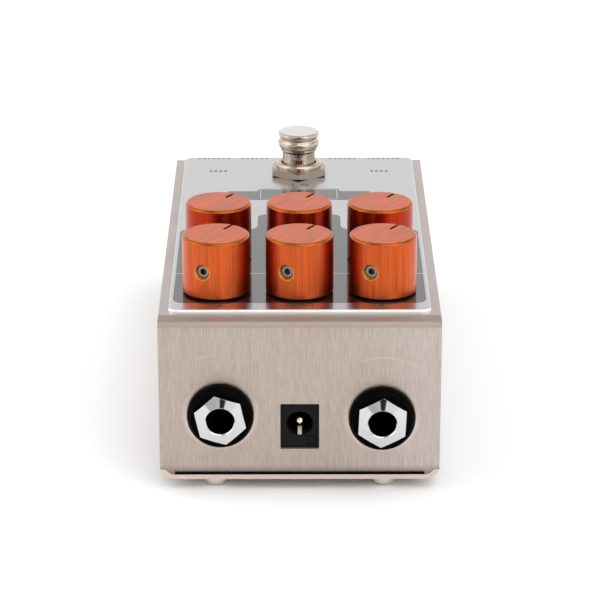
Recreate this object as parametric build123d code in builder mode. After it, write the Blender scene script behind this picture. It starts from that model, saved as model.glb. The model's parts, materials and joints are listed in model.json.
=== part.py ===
"""Compact guitar effects pedal in a bent steel case: six turned knobs, a foot switch,
two 6.35 mm jack sockets and a DC socket.

Frame: millimetres, +Z up, origin on the surface it stands on, under the centre of the
whole length from the socket nuts to the front panel. -Y is the rear, where the sockets
are. +Y is the front, where the foot switch is.
Left and right are as seen from the rear. The faceplate slopes down towards the front, and
everything fixed to it is drawn at a station: a plane on the faceplate's top face whose
local z runs along the faceplate's normal.
"""
from build123d import *
import os
from math import cos, radians, sin, sqrt, tan

# ---------------------------------------------------------------- driving dimensions (mm)
case_width = 66.0
case_length = 129.0
rear_height = 40.3          # base underside to cover top at the rear edge
slope = 3.0                 # degrees, faceplate down towards the front
sheet = 1.2                 # case sheet thickness
joint_gap = 0.05            # clearance between pieces that only rest on each other

base_bend = 3.5             # outer bend radii
cover_bend = 1.5
lip_depth = 8.0             # cover's inward lips that take the base screws
lip_half_width = 29.5
tab_edge = 31.4             # outer edge of the cover's corner tabs
wall_notch = 2.6            # height above the base underside where the side walls start

plate_width = 61.6
plate_length = 122.0
plate_thickness = 1.2
plate_corner = 2.5
plate_edge_round = 0.5
plate_from_rear = 66.0      # plate centre, a little forward of the case centre

screw_head_r = 3.6          # four dome-head screws hold the base and are the feet
screw_head_h = 2.6
screw_dome_r = 3.2
screw_flat_r = 1.7          # flat end around the hexagon socket
screw_shank_r = 2.0
screw_x = 19.9
screw_inset = 4.0

column_pitch = 19.7         # knobs: three columns by two rows
rear_row_from_rear = 18.65
row_pitch = 24.6
knob_r = 8.0
knob_gap = 0.4              # knob above the faceplate
knob_top = 14.35
knob_disc_r = 7.5
knob_step = 0.22            # disc's edge down to the rim
rim_round = 0.42
knob_recess_r = 6.6
knob_recess_top = 3.7
pointer_angle = 30.0        # degrees from +Y towards +X, at the minimum stop
pointer_start = 3.5         # its slot runs from here out through the rim
pointer_width = 0.85
pointer_depth = 0.3
screw_angle = 24.0          # set screw, degrees from -Y towards -X
set_screw_n = 7.0
set_screw_r = 1.5
set_screw_length = 5.0
shaft_r = 3.0
shaft_flat = 2.0            # flat's distance from the shaft axis
shaft_top = 12.6
running = 0.05              # radial clearance of a turning or sliding fit
bushing_r = 3.5
bushing_top = 3.1
pot_width = 9.6
pot_depth = 11.2
pot_height = 6.4

switch_from_rear = 113.15
switch_travel = 2.8
switch_bushing_r = 6.0
switch_bore_r = 4.62
switch_guide_r = 4.55
switch_body_top = -7.0
switch_body_bottom = -20.0

led_from_rear = 72.5

jack_x = {"left": -18.6, "right": 19.3}
jack_z = {"left": 16.95, "right": 16.25}    # above the base underside
jack_bore_r = 3.25          # takes a 6.35 mm plug
jack_thread_r = 4.5
collar_r = 7.85
collar_front_r = 7.0
collar_height = 3.4
nut_flats = 11.0
nut_front = 4.5
nut_flat_r = 3.55           # the face is flat inside this radius and conical outside it
nut_cone = 0.85             # fall of the cone at the corners
nut_turn = {"left": -17.5, "right": 27.5}

dc_width = 9.1              # square window for the DC socket
dc_low = 7.9
dc_high = 19.5
dc_hole_r = 3.08
dc_hole_z = 14.1
dc_pin_r = 1.05
dc_recess = 0.8

# ---------------------------------------------------------------- worked-out places
foot = screw_head_h                     # height of the base underside above the ground
half_width = case_width / 2
rear_y = -(case_length - nut_front) / 2
front_y = rear_y + case_length
case_y = (rear_y + front_y) / 2
plate_y = rear_y + plate_from_rear
rear_row_y = rear_y + rear_row_from_rear
switch_y = rear_y + switch_from_rear
led_y = rear_y + led_from_rear
fall = tan(radians(slope))
plate_up = plate_thickness / cos(radians(slope))
cover_under = -plate_thickness - sheet  # cover's inner face, measured from a station
base_floor = foot + sheet
board_top = cover_under - 0.1 - pot_height - joint_gap
board_thickness = 1.6

os.makedirs("parts", exist_ok=True)


def cover_top(y):
    """Height of the cover's outer top face at a given y."""
    return foot + rear_height - (y - rear_y) * fall


def station(x, y):
    """Plane on the faceplate's top face, local z along its normal."""
    return Plane(
        origin=(x, y, cover_top(y) + plate_up),
        x_dir=(1, 0, 0),
        z_dir=(0, sin(radians(slope)), cos(radians(slope))),
    )


def upright(place):
    """Plane through a station's axis: local x is the radius, local y runs along the axis."""
    return Plane(origin=place.origin, x_dir=place.x_dir, z_dir=-place.y_dir)


def axis_of(place):
    """The station's own axis, which turned pieces are revolved about."""
    return Axis(place.origin, place.z_dir)


def panel_station(x, z):
    """Plane on the rear panel's outer face, local z pointing out of the case."""
    return Plane(origin=(x, rear_y, foot + z), x_dir=(1, 0, 0), z_dir=(0, -1, 0))


def save(piece, name):
    """Label a finished piece and write its STEP file."""
    piece.part.label = name
    export_step(piece.part, f"parts/{name}.step")


columns = {"left": -column_pitch, "middle": 0.0, "right": column_pitch}
rows = {"rear": rear_row_y, "front": rear_row_y + row_pitch}
knob_places = {
    f"{row}_{column}": station(x, y) for row, y in rows.items() for column, x in columns.items()
}
switch_place = station(0, switch_y)
led_place = station(0, led_y)
jack_places = {side: panel_station(jack_x[side], jack_z[side]) for side in jack_x}
screw_rows = (rear_y + screw_inset, front_y - screw_inset)
screw_spots = Locations(*[(x, y) for x in (-screw_x, screw_x) for y in screw_rows])

# ---------------------------------------------------------------- case
# Base tray: a U of sheet whose side walls stop short of the cover's end panels.
with BuildPart() as base_tray:
    wall_top = cover_top(rear_y) + 1
    with BuildSketch(Plane.XZ.offset(-case_y)) as tray_section:
        with BuildLine():
            Polyline(
                (-half_width, wall_top),
                (-half_width, foot),
                (half_width, foot),
                (half_width, wall_top),
                close=True,
            )
        make_face()
        fillet(tray_section.vertices().group_by(Axis.Y)[0], base_bend)
        with BuildLine():
            Polyline(
                (-half_width + sheet, wall_top + 1),
                (-half_width + sheet, base_floor + base_bend - sheet),
                (-half_width + base_bend, base_floor),
                (half_width - base_bend, base_floor),
                (half_width - sheet, base_floor + base_bend - sheet),
                (half_width - sheet, wall_top + 1),
                close=True,
            )
        make_face(mode=Mode.SUBTRACT)
        for side in (-1, 1):
            with Locations((side * (half_width - base_bend), base_floor + base_bend - sheet)):
                Circle(base_bend - sheet, mode=Mode.SUBTRACT)
    extrude(amount=case_length / 2, both=True)
    # the walls' tops follow the cover's underside
    with BuildSketch(Plane.YZ):
        with BuildLine():
            under = sheet / cos(radians(slope)) + joint_gap
            Polyline(
                (rear_y - 1, cover_top(rear_y - 1) - under),
                (front_y + 1, cover_top(front_y + 1) - under),
                (front_y + 1, wall_top + 5),
                (rear_y - 1, wall_top + 5),
                close=True,
            )
        make_face()
    extrude(amount=half_width + 1, both=True, mode=Mode.SUBTRACT)
    # room for the cover's end panels above the corner notches
    with BuildSketch(Plane.XY.offset(foot + wall_notch - joint_gap)):
        with Locations((0, case_y)):
            Rectangle(case_width + 2, case_length + 2)
            Rectangle(case_width + 2, case_length - 2 * (sheet + 0.1), mode=Mode.SUBTRACT)
    extrude(amount=rear_height, mode=Mode.SUBTRACT)
    with BuildSketch(Plane.XY.offset(foot)):
        with screw_spots:
            Circle(screw_shank_r + 0.15)
    extrude(amount=sheet, mode=Mode.SUBTRACT)
save(base_tray, "base_tray")

# Top cover: rear panel, top and front panel in one folded sheet, with screw lips.
with BuildPart() as top_cover:
    lip_bottom = base_floor + joint_gap
    with BuildSketch(Plane.YZ) as cover_section:
        with BuildLine():
            Polyline(
                (rear_y, lip_bottom),
                (rear_y, cover_top(rear_y)),
                (front_y, cover_top(front_y)),
                (front_y, lip_bottom),
                close=True,
            )
        make_face()
        fillet(cover_section.vertices(), cover_bend)
        offset(amount=-sheet, mode=Mode.SUBTRACT)
    extrude(amount=half_width, both=True)
    with BuildSketch(Plane.XY.offset(lip_bottom)):
        with Locations((0, case_y)):
            Rectangle(case_width + 2, case_length - 2 * lip_depth)
        with Locations((half_width, case_y), (-half_width, case_y)):
            Rectangle(2 * (half_width - lip_half_width), case_length - 2 * sheet)
    extrude(amount=sheet + 0.01, mode=Mode.SUBTRACT)
    # flat corner tabs run straight down to the base's bend
    with BuildSketch(Plane.XY.offset(lip_bottom)):
        for x in (-(half_width + lip_half_width) / 2, (half_width + lip_half_width) / 2):
            for y in (rear_y + sheet / 2, front_y - sheet / 2):
                with Locations((x, y)):
                    Rectangle(half_width - lip_half_width, sheet)
    extrude(amount=2 * cover_bend)
    tab_arc = base_bend - sheet - joint_gap
    tab_foot = foot + base_bend - sqrt(tab_arc**2 - (tab_edge - lip_half_width) ** 2)
    with BuildSketch(Plane.XZ):
        with BuildLine():
            RadiusArc(
                (lip_half_width, foot + base_bend - tab_arc), (tab_edge, tab_foot), -tab_arc
            )
            Polyline(
                (tab_edge, tab_foot),
                (tab_edge, foot + wall_notch),
                (half_width + 1, foot + wall_notch),
                (half_width + 1, foot),
                (lip_half_width, foot),
                (lip_half_width, foot + base_bend - tab_arc),
            )
        make_face()
        mirror(about=Plane.YZ)
    extrude(amount=case_length, both=True, mode=Mode.SUBTRACT)
    # holes for the potentiometers, foot switch and lamp
    for place in knob_places.values():
        with BuildSketch(place.offset(cover_under - 1)):
            Circle(bushing_r + 0.1)
        extrude(amount=sheet + 1.5, mode=Mode.SUBTRACT)
    with BuildSketch(switch_place.offset(cover_under - 1)):
        Circle(switch_bushing_r + 0.1)
    extrude(amount=sheet + 1.5, mode=Mode.SUBTRACT)
    with BuildSketch(led_place.offset(cover_under - 1)):
        Circle(3.1)
    extrude(amount=sheet + 1.5, mode=Mode.SUBTRACT)
    # holes for the sockets
    for place in jack_places.values():
        with BuildSketch(place.offset(0.5)):
            Circle(jack_thread_r + 0.15)
        extrude(amount=-sheet - 1, mode=Mode.SUBTRACT)
    with BuildSketch(panel_station(0, (dc_low + dc_high) / 2).offset(0.5)) as dc_window:
        Rectangle(dc_width, dc_high - dc_low)
        fillet(dc_window.vertices(), 0.25)
    extrude(amount=-sheet - 1, mode=Mode.SUBTRACT)
    with BuildSketch(Plane.XY.offset(lip_bottom)):
        with screw_spots:
            Circle(screw_shank_r + 0.1)
    extrude(amount=sheet, mode=Mode.SUBTRACT)
save(top_cover, "top_cover")

# Faceplate: a printed plate with rounded corners and a softened upper edge.
with BuildPart() as faceplate:
    with BuildSketch(station(0, plate_y)) as plate_outline:
        Rectangle(plate_width, plate_length)
        fillet(plate_outline.vertices(), plate_corner)
    extrude(amount=-plate_thickness)
    upper_rim = faceplate.faces().sort_by(axis_of(station(0, plate_y)))[-1].outer_wire().edges()
    fillet(upper_rim, plate_edge_round)
    for place in knob_places.values():
        with BuildSketch(place):
            Circle(bushing_r + 0.1)
        extrude(amount=-plate_thickness - 0.5, mode=Mode.SUBTRACT)
    with BuildSketch(switch_place):
        Circle(switch_bushing_r + 0.1)
    extrude(amount=-plate_thickness - 0.5, mode=Mode.SUBTRACT)
    with BuildSketch(led_place):
        Circle(3.1)
    extrude(amount=-plate_thickness - 0.5, mode=Mode.SUBTRACT)
save(faceplate, "faceplate")

# Four dome-head screws. The pedal stands on their heads.
hex_key_r = 1.45
with BuildPart() as base_screws:
    for x in (-screw_x, screw_x):
        for y in screw_rows:
            with BuildSketch(Plane(origin=(x, y, 0), x_dir=(1, 0, 0), z_dir=(0, -1, 0))):
                with BuildLine():
                    Line((screw_flat_r, 0), (0, 0))
                    Line((0, 0), (0, foot + 5.2))
                    Line((0, foot + 5.2), (screw_shank_r, foot + 5.2))
                    Line((screw_shank_r, foot + 5.2), (screw_shank_r, foot))
                    Line((screw_shank_r, foot), (screw_head_r, foot))
                    Line((screw_head_r, foot), (screw_head_r, foot - 0.5))
                    RadiusArc((screw_head_r, foot - 0.5), (screw_flat_r, 0), screw_dome_r)
                make_face()
            revolve(axis=Axis((x, y, 0), (0, 0, 1)))
            with BuildSketch(Plane.XY):
                with Locations((x, y)):
                    RegularPolygon(hex_key_r, 6)
            extrude(amount=1.6, mode=Mode.SUBTRACT)
save(base_screws, "base_screws")

# Clinch nuts on the cover's lips.
with BuildPart() as clinch_nuts:
    with BuildSketch(Plane.XY.offset(lip_bottom + sheet)):
        with screw_spots:
            Circle(2.5)
            Circle(screw_shank_r + 0.02, mode=Mode.SUBTRACT)
    extrude(amount=2.0)
save(clinch_nuts, "clinch_nuts")

# ---------------------------------------------------------------- knobs and potentiometers
for name, place in knob_places.items():
    # direction of the set screw, out of the knob
    screw_out = place.x_dir * -sin(radians(screw_angle)) + place.y_dir * -cos(radians(screw_angle))
    screw_plane = Plane(
        origin=place.origin + place.z_dir * set_screw_n, x_dir=place.z_dir, z_dir=screw_out
    )

    # Turned knob: raised disc, fine step, rounded rim, hollow underside.
    with BuildPart() as knob:
        with BuildSketch(upright(place)):
            with BuildLine():
                rim_start = (knob_r - rim_round, knob_top - knob_step)
                rim_end = (knob_r, knob_top - knob_step - rim_round)
                RadiusArc(rim_start, rim_end, rim_round)
                Polyline(
                    rim_end,
                    (knob_r, knob_gap + 0.2),
                    (knob_r - 0.2, knob_gap),
                    (knob_recess_r, knob_gap),
                    (knob_recess_r, knob_recess_top),
                    (0, knob_recess_top),
                    (0, knob_top),
                    (knob_disc_r - 0.08, knob_top),
                    (knob_disc_r, knob_top - 0.08),
                    (knob_disc_r, knob_top - knob_step),
                    rim_start,
                )
            make_face()
        revolve(axis=axis_of(place))
        with BuildSketch(place.offset(knob_recess_top)):
            Circle(shaft_r + 0.02)
            with Locations(Rotation(0, 0, -screw_angle)):
                with Locations((0, -shaft_r - shaft_flat)):
                    Rectangle(2 * shaft_r + 1, 2 * shaft_r - 0.04, mode=Mode.SUBTRACT)
        extrude(amount=shaft_top - knob_recess_top + 0.1, mode=Mode.SUBTRACT)
        with BuildSketch(screw_plane.offset(1.0)):
            Circle(set_screw_r + 0.02)
        extrude(amount=knob_r, mode=Mode.SUBTRACT)
        with Locations(screw_plane.offset(knob_r - 0.2)):
            Cone(set_screw_r + 0.02, set_screw_r + 0.7, 1.4, mode=Mode.SUBTRACT)
        # pointer: a slot engraved across the disc and out through the rim
        with BuildSketch(place.offset(knob_top - pointer_depth)):
            with Locations(Rotation(0, 0, 90 - pointer_angle)):
                with Locations(((pointer_start + knob_r + 1) / 2, 0)):
                    Rectangle(knob_r + 1 - pointer_start, pointer_width)
        extrude(amount=1, mode=Mode.SUBTRACT)
    save(knob, f"knob_{name}")

    # Set screw with a hexagon socket, resting on the shaft's flat.
    with BuildPart() as set_screw:
        with BuildSketch(screw_plane.offset(shaft_flat + 0.02)):
            Circle(set_screw_r)
        extrude(amount=set_screw_length)
        chamfer(set_screw.edges().group_by(Axis(screw_plane.origin, screw_out))[-1], 0.15)
        with BuildSketch(screw_plane.offset(shaft_flat + 0.02 + set_screw_length)):
            RegularPolygon(0.87, 6)
        extrude(amount=-2.0, mode=Mode.SUBTRACT)
    save(set_screw, f"set_screw_{name}")

    # D-shaped shaft, round where it turns in the bushing.
    with BuildPart() as pot_shaft:
        with BuildSketch(place.offset(board_top + 1.6)):
            Circle(shaft_r)
        extrude(amount=shaft_top - board_top - 1.6)
        chamfer(pot_shaft.edges().group_by(axis_of(place))[-1], 0.4)
        with BuildSketch(place.offset(knob_recess_top - 0.2)):
            with Locations(Rotation(0, 0, -screw_angle)):
                with Locations((0, -shaft_r - shaft_flat)):
                    Rectangle(2 * shaft_r + 1, 2 * shaft_r)
        extrude(amount=shaft_top, mode=Mode.SUBTRACT)
    save(pot_shaft, f"pot_shaft_{name}")

    # Board-mounted potentiometer: moulded body, threaded bushing and three pins.
    with BuildPart() as pot_body:
        body_top = cover_under - 0.1
        with BuildSketch(place.offset(body_top)) as pot_plan:
            with Locations((0, 0.8)):
                Rectangle(pot_width, pot_depth)
            fillet(pot_plan.vertices(), 0.6)
        extrude(amount=-pot_height)
        with BuildSketch(place.offset(body_top)):
            Circle(bushing_r)
        extrude(amount=bushing_top - body_top)
        chamfer(pot_body.edges().group_by(axis_of(place))[-1], 0.25)
        with BuildSketch(place.offset(board_top + 1.5)):
            Circle(shaft_r + running)
        extrude(amount=bushing_top + pot_height + 3, mode=Mode.SUBTRACT)
        with BuildSketch(place.offset(body_top - pot_height)):
            with Locations((-2.5, 5.4), (0, 5.4), (2.5, 5.4)):
                Rectangle(0.8, 0.6)
        extrude(amount=-joint_gap - board_thickness - 0.9)
    save(pot_body, f"pot_body_{name}")

# Washer and hexagon nut on each bushing, hidden in the knobs' hollow undersides.
with BuildPart() as pot_washers:
    for place in knob_places.values():
        with BuildSketch(place):
            Circle(5.6)
            Circle(bushing_r + 0.05, mode=Mode.SUBTRACT)
        extrude(amount=0.4)
save(pot_washers, "pot_washers")

with BuildPart() as pot_nuts:
    for place in knob_places.values():
        with BuildSketch(place.offset(0.4)):
            RegularPolygon(5.0, 6, major_radius=False)
            Circle(bushing_r + 0.02, mode=Mode.SUBTRACT)
        extrude(amount=2.0)
save(pot_nuts, "pot_nuts")

# ---------------------------------------------------------------- foot switch
# Push button: grooved cap, waisted neck and a guide that slides in the bushing.
guide_top = -1.5
guide_bottom = -9.5
with BuildPart() as footswitch_button:
    with BuildSketch(upright(switch_place)):
        with BuildLine():
            Polyline((0, guide_bottom), (0, 11.5), (4.95, 11.5), (5.3, 11.3))
            ThreePointArc((5.3, 11.3), (5.42, 10.75), (5.1, 10.0))
            ThreePointArc((5.1, 10.0), (4.92, 9.65), (5.1, 9.3))
            ThreePointArc((5.1, 9.3), (5.4, 8.95), (5.48, 8.4))
            ThreePointArc((5.48, 8.4), (5.4, 7.8), (5.05, 7.3))
            Polyline(
                (5.05, 7.3),
                (4.9, 7.2),
                (4.85, 6.6),
                (4.4, 6.1),
                (4.3, 4.6),
                (4.35, 3.0),
                (4.35, guide_top),
                (switch_guide_r, guide_top - 0.2),
                (switch_guide_r, guide_bottom),
                (0, guide_bottom),
            )
        make_face()
    revolve(axis=axis_of(switch_place))
save(footswitch_button, "footswitch_button")

# Threaded bushing with a rounded rim.
with BuildPart() as footswitch_bushing:
    with BuildSketch(switch_place.offset(-11.0)):
        Circle(switch_bushing_r)
        Circle(switch_bore_r, mode=Mode.SUBTRACT)
    extrude(amount=11.0 + 3.2)
    rim = footswitch_bushing.edges().group_by(axis_of(switch_place))[-1]
    fillet(rim.sort_by(SortBy.RADIUS)[-1], 0.8)
    fillet(footswitch_bushing.edges().group_by(axis_of(switch_place))[-1].sort_by(SortBy.RADIUS)[0], 0.4)
save(footswitch_bushing, "footswitch_bushing")

# Outer hexagon nut with turned corners, and the plain one under the cover.
switch_nut_flats = 14.0
with BuildPart() as footswitch_nut:
    with BuildSketch(switch_place):
        RegularPolygon(switch_nut_flats / 2, 6, major_radius=False, rotation=30)
        Circle(switch_bushing_r + 0.02, mode=Mode.SUBTRACT)
    extrude(amount=2.0)
    with BuildSketch(upright(switch_place)):
        with BuildLine():
            nut_corner = switch_nut_flats / sqrt(3)
            Polyline(
                (0, -0.5),
                (switch_nut_flats / 2, -0.5),
                (switch_nut_flats / 2, 0),
                (nut_corner + 0.05, 0.45),
                (nut_corner + 0.05, 1.45),
                (switch_nut_flats / 2 - 0.2, 2.05),
                (0, 2.05),
                close=True,
            )
        make_face()
    revolve(axis=axis_of(switch_place), mode=Mode.INTERSECT)
save(footswitch_nut, "footswitch_nut")

with BuildPart() as footswitch_lock_nut:
    with BuildSketch(switch_place.offset(cover_under)):
        RegularPolygon(switch_nut_flats / 2, 6, major_radius=False)
        Circle(switch_bushing_r + 0.02, mode=Mode.SUBTRACT)
    extrude(amount=-2.0)
save(footswitch_lock_nut, "footswitch_lock_nut")

# Switch body: moulded box with a pocket for the bushing and a well for the spring.
spring_room = 6.1           # height left for the spring when the button is down
well_floor = guide_bottom - switch_travel - spring_room
with BuildPart() as footswitch_body:
    with BuildSketch(switch_place.offset(switch_body_top)) as switch_plan:
        Rectangle(17.4, 18.4)
        fillet(switch_plan.vertices(), 1.0)
    extrude(amount=switch_body_bottom - switch_body_top)
    with BuildSketch(switch_place.offset(switch_body_top)):
        Circle(switch_bushing_r + 0.02)
    extrude(amount=-11.05 - switch_body_top, mode=Mode.SUBTRACT)
    with BuildSketch(switch_place.offset(switch_body_top)):
        Circle(4.9)
    extrude(amount=well_floor - switch_body_top, mode=Mode.SUBTRACT)
save(footswitch_body, "footswitch_body")

# Return spring under the button's guide.
spring_wire = 0.6
spring_turns = 5
spring_r = 3.6
spring_low = well_floor + 0.1 + spring_wire / 2
spring_height = guide_bottom - 0.1 - spring_wire / 2 - spring_low
with BuildPart() as footswitch_spring:
    with BuildLine(switch_place.offset(spring_low)):
        coil = Helix(spring_height / spring_turns, spring_height, spring_r)
    with BuildSketch(Plane(origin=coil @ 0, z_dir=coil % 0)):
        Circle(spring_wire / 2)
    sweep(path=coil, is_frenet=True)
save(footswitch_spring, "footswitch_spring")

# Nine solder lugs in three rows.
with BuildPart() as footswitch_lugs:
    with BuildSketch(switch_place.offset(switch_body_bottom)):
        with GridLocations(5.3, 4.8, 3, 3):
            Rectangle(2.0, 0.8)
    extrude(amount=-4.0)
save(footswitch_lugs, "footswitch_lugs")

# ---------------------------------------------------------------- lamp
with BuildPart() as led_bezel:
    with BuildSketch(upright(led_place)):
        with BuildLine():
            Polyline((2.56, -3.5), (2.56, 1.5), (3.0, 1.5))
            ThreePointArc((3.0, 1.5), (3.75, 1.0), (4.1, 0.0))
            Polyline((4.1, 0.0), (3.05, 0.0), (3.05, -3.5), (2.56, -3.5))
        make_face()
    revolve(axis=axis_of(led_place))
save(led_bezel, "led_bezel")

with BuildPart() as status_led:
    with BuildSketch(upright(led_place)):
        with BuildLine():
            Polyline((0, -5.6), (0, 2.1))
            ThreePointArc((0, 2.1), (1.77, 1.37), (2.5, -0.4))
            Polyline((2.5, -0.4), (2.5, -4.6), (2.9, -4.6), (2.9, -5.6), (0, -5.6))
        make_face()
    revolve(axis=axis_of(led_place))
    with BuildSketch(led_place.offset(-5.6)):
        with Locations((-1.27, 0), (1.27, 0)):
            Rectangle(0.5, 0.5)
    extrude(amount=board_top + 5.6 - board_thickness - 0.8)
save(status_led, "status_led")

# ---------------------------------------------------------------- jack sockets
jack_body_low = 8.0
jack_body_high = 25.0
jack_body_depth = 26.7
sleeve_length = 13.2        # threaded sleeve behind the nut's head
for side, place in jack_places.items():
    # Tapered moulded collar on the outside of the panel.
    with BuildPart() as jack_collar:
        with BuildSketch(upright(place)):
            with BuildLine():
                Polyline(
                    (jack_thread_r + 0.1, 3.0),
                    (jack_thread_r + 0.1, 0),
                    (collar_r, 0),
                    (collar_r, 0.5),
                )
                ThreePointArc((collar_r, 0.5), (7.62, 2.2), (collar_front_r, 3.15))
                ThreePointArc((collar_front_r, 3.15), (6.9, 3.33), (6.7, collar_height))
                Polyline((6.7, collar_height), (6.5, 3.0), (jack_thread_r + 0.1, 3.0))
            make_face()
        revolve(axis=axis_of(place))
    save(jack_collar, f"jack_collar_{side}")

    # Hexagon ferrule nut: its head sits in the collar, its sleeve screws into the body.
    with BuildPart() as jack_nut:
        head_plane = place.offset(3.0)
        with BuildSketch(head_plane):
            RegularPolygon(nut_flats / 2, 6, major_radius=False, rotation=nut_turn[side])
        extrude(amount=nut_front - 3.0)
        with BuildSketch(upright(place)):
            with BuildLine():
                corner = nut_flats / sqrt(3)
                Polyline(
                    (0, 2.9),
                    (corner + 0.05, 2.9),
                    (corner + 0.05, nut_front - nut_cone),
                    (nut_flat_r, nut_front),
                    (0, nut_front),
                    close=True,
                )
            make_face()
        revolve(axis=axis_of(place), mode=Mode.INTERSECT)
        with BuildSketch(head_plane):
            Circle(jack_thread_r)
        extrude(amount=-sleeve_length)
        with BuildSketch(place.offset(nut_front)):
            Circle(jack_bore_r)
        extrude(amount=-sleeve_length - 2.5, mode=Mode.SUBTRACT)
        mouth = jack_nut.edges().group_by(axis_of(place))[-1].sort_by(SortBy.RADIUS)
        chamfer(mouth.filter_by(GeomType.CIRCLE)[0], 0.25)
    save(jack_nut, f"jack_nut_{side}")

    # Moulded body behind the panel, open along the plug's path.
    with BuildPart() as jack_body:
        body_face = -sheet - joint_gap
        body_mid = (jack_body_low + jack_body_high) / 2
        body_x = place.origin.X
        with BuildSketch(panel_station(body_x, body_mid).offset(body_face)) as jack_front:
            Rectangle(15.6, jack_body_high - jack_body_low)
            fillet(jack_front.vertices(), 0.8)
        extrude(amount=-jack_body_depth)
        with BuildSketch(place.offset(body_face)):
            Circle(jack_thread_r + 0.05)
        extrude(amount=-9.6, mode=Mode.SUBTRACT)
        with BuildSketch(place.offset(body_face - 9.0)):
            Circle(3.6)
        extrude(amount=-jack_body_depth + 10.5, mode=Mode.SUBTRACT)
        # pocket for the tip contact, above the plug's path
        with BuildSketch(place.offset(body_face - 12.0)):
            with Locations((0, 4.6)):
                Rectangle(3.2, 3.2)
        extrude(amount=-12.0, mode=Mode.SUBTRACT)
    save(jack_body, f"jack_body_{side}")

    # Springy tip contact in its pocket.
    with BuildPart() as jack_contact:
        strip_start = rear_y - body_face + 12.3
        strip_z = place.origin.Z
        with BuildSketch(Plane.YZ.offset(body_x)):
            with BuildLine():
                Polyline(
                    (strip_start, strip_z + 5.6),
                    (strip_start + 3.5, strip_z + 4.0),
                    (strip_start + 6.5, strip_z + 4.0),
                    (strip_start + 8.0, strip_z + 4.6),
                    (strip_start + 11.0, strip_z + 5.6),
                )
            trace(line_width=0.3)
        extrude(amount=1.2, both=True)
    save(jack_contact, f"jack_contact_{side}")

# ---------------------------------------------------------------- DC socket
dc_front = -dc_recess
dc_middle = (dc_low + dc_high) / 2
with BuildPart() as dc_socket_body:
    with BuildSketch(panel_station(0, dc_middle).offset(dc_front)) as dc_face:
        Rectangle(dc_width - 2 * joint_gap, dc_high - dc_low - 2 * joint_gap)
        fillet(dc_face.vertices(), 0.25)
    extrude(amount=-14.0)
    with BuildSketch(panel_station(0, dc_hole_z).offset(dc_front)):
        Circle(dc_hole_r)
    extrude(amount=-10.5, mode=Mode.SUBTRACT)
    rim = dc_socket_body.edges().group_by(Axis.Y)[0].filter_by(GeomType.CIRCLE)
    chamfer(rim.sort_by(SortBy.RADIUS)[-1], 0.2)
    # groove along the hole's floor for the sleeve contact
    with BuildSketch(panel_station(0, dc_hole_z - dc_hole_r).offset(dc_front - 0.4)):
        Rectangle(1.5, 1.1)
    extrude(amount=-9.6, mode=Mode.SUBTRACT)
    # square mould mark
    with BuildSketch(panel_station(2.7, dc_low + 2.0).offset(dc_front)):
        Rectangle(2.3, 2.3)
        Rectangle(1.7, 1.7, mode=Mode.SUBTRACT)
    extrude(amount=-0.25, mode=Mode.SUBTRACT)
save(dc_socket_body, "dc_socket_body")

with BuildPart() as dc_socket_pin:
    with BuildSketch(panel_station(0, dc_hole_z).offset(dc_front - 10.5)):
        Circle(dc_pin_r)
    extrude(amount=9.2)
    fillet(dc_socket_pin.edges().group_by(Axis.Y)[0], 0.9)
save(dc_socket_pin, "dc_socket_pin")

with BuildPart() as dc_socket_contact:
    floor_z = foot + dc_hole_z - dc_hole_r
    with BuildSketch(Plane.YZ):
        with BuildLine():
            Polyline(
                (rear_y + 1.6, floor_z - 0.15),
                (rear_y + 3.2, floor_z + 1.35),
                (rear_y + 6.5, floor_z + 1.1),
                (rear_y + 10.4, floor_z - 0.15),
            )
        trace(line_width=0.25)
    extrude(amount=0.5, both=True)
save(dc_socket_contact, "dc_socket_contact")

# ---------------------------------------------------------------- circuit boards
board_length = 92.0
board_y = rear_y + 52.0
board_place = station(0, board_y).offset(board_top)
with BuildPart() as main_board:
    with BuildSketch(board_place) as board_plan:
        Rectangle(60.0, board_length)
        fillet(board_plan.vertices(), 1.5)
    extrude(amount=-board_thickness)
    for place in knob_places.values():
        with BuildSketch(place.offset(board_top)):
            with Locations((-2.5, 5.4), (0, 5.4), (2.5, 5.4)):
                Circle(0.62)
        extrude(amount=-board_thickness, mode=Mode.SUBTRACT)
    with BuildSketch(led_place.offset(board_top)):
        with Locations((-1.27, 0), (1.27, 0)):
            Circle(0.45)
    extrude(amount=-board_thickness, mode=Mode.SUBTRACT)
save(main_board, "main_board")

jack_board_top = 7.9
jack_board_length = 26.0
jack_board_y = rear_y + sheet + 0.6 + jack_board_length / 2
with BuildPart() as jack_board:
    with BuildSketch(Plane.XY.offset(foot + jack_board_top)) as jack_board_plan:
        with Locations((0, jack_board_y)):
            Rectangle(58.0, jack_board_length)
        fillet(jack_board_plan.vertices(), 1.0)
    extrude(amount=-board_thickness)
save(jack_board, "jack_board")

with BuildPart() as jack_board_spacers:
    spacer_height = jack_board_top - board_thickness - sheet
    with BuildSketch(Plane.XY.offset(base_floor)):
        for x in (-25.0, 25.0):
            for y in (rear_y + lip_depth + 3.5, jack_board_y + jack_board_length / 2 - 3.5):
                with Locations((x, y)):
                    RegularPolygon(2.5, 6, major_radius=False)
    extrude(amount=spacer_height)
save(jack_board_spacers, "jack_board_spacers")

# Parts under the main board. Local z of this plane still points up, so they grow downwards.
under_board = board_place.offset(-board_thickness)
with BuildPart() as electrolytic_capacitors:
    with BuildSketch(under_board):
        with Locations((-24, 26), (-24, 34), (-14, 36), (22, 34), (14, 36)):
            Circle(3.15)
    extrude(amount=-11.0)
save(electrolytic_capacitors, "electrolytic_capacitors")

with BuildPart() as film_capacitors:
    with BuildSketch(under_board):
        with Locations((0, 4.5)):
            with GridLocations(10.0, 9.0, 4, 2):
                Rectangle(7.2, 2.8)
    extrude(amount=-6.5)
save(film_capacitors, "film_capacitors")

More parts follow.
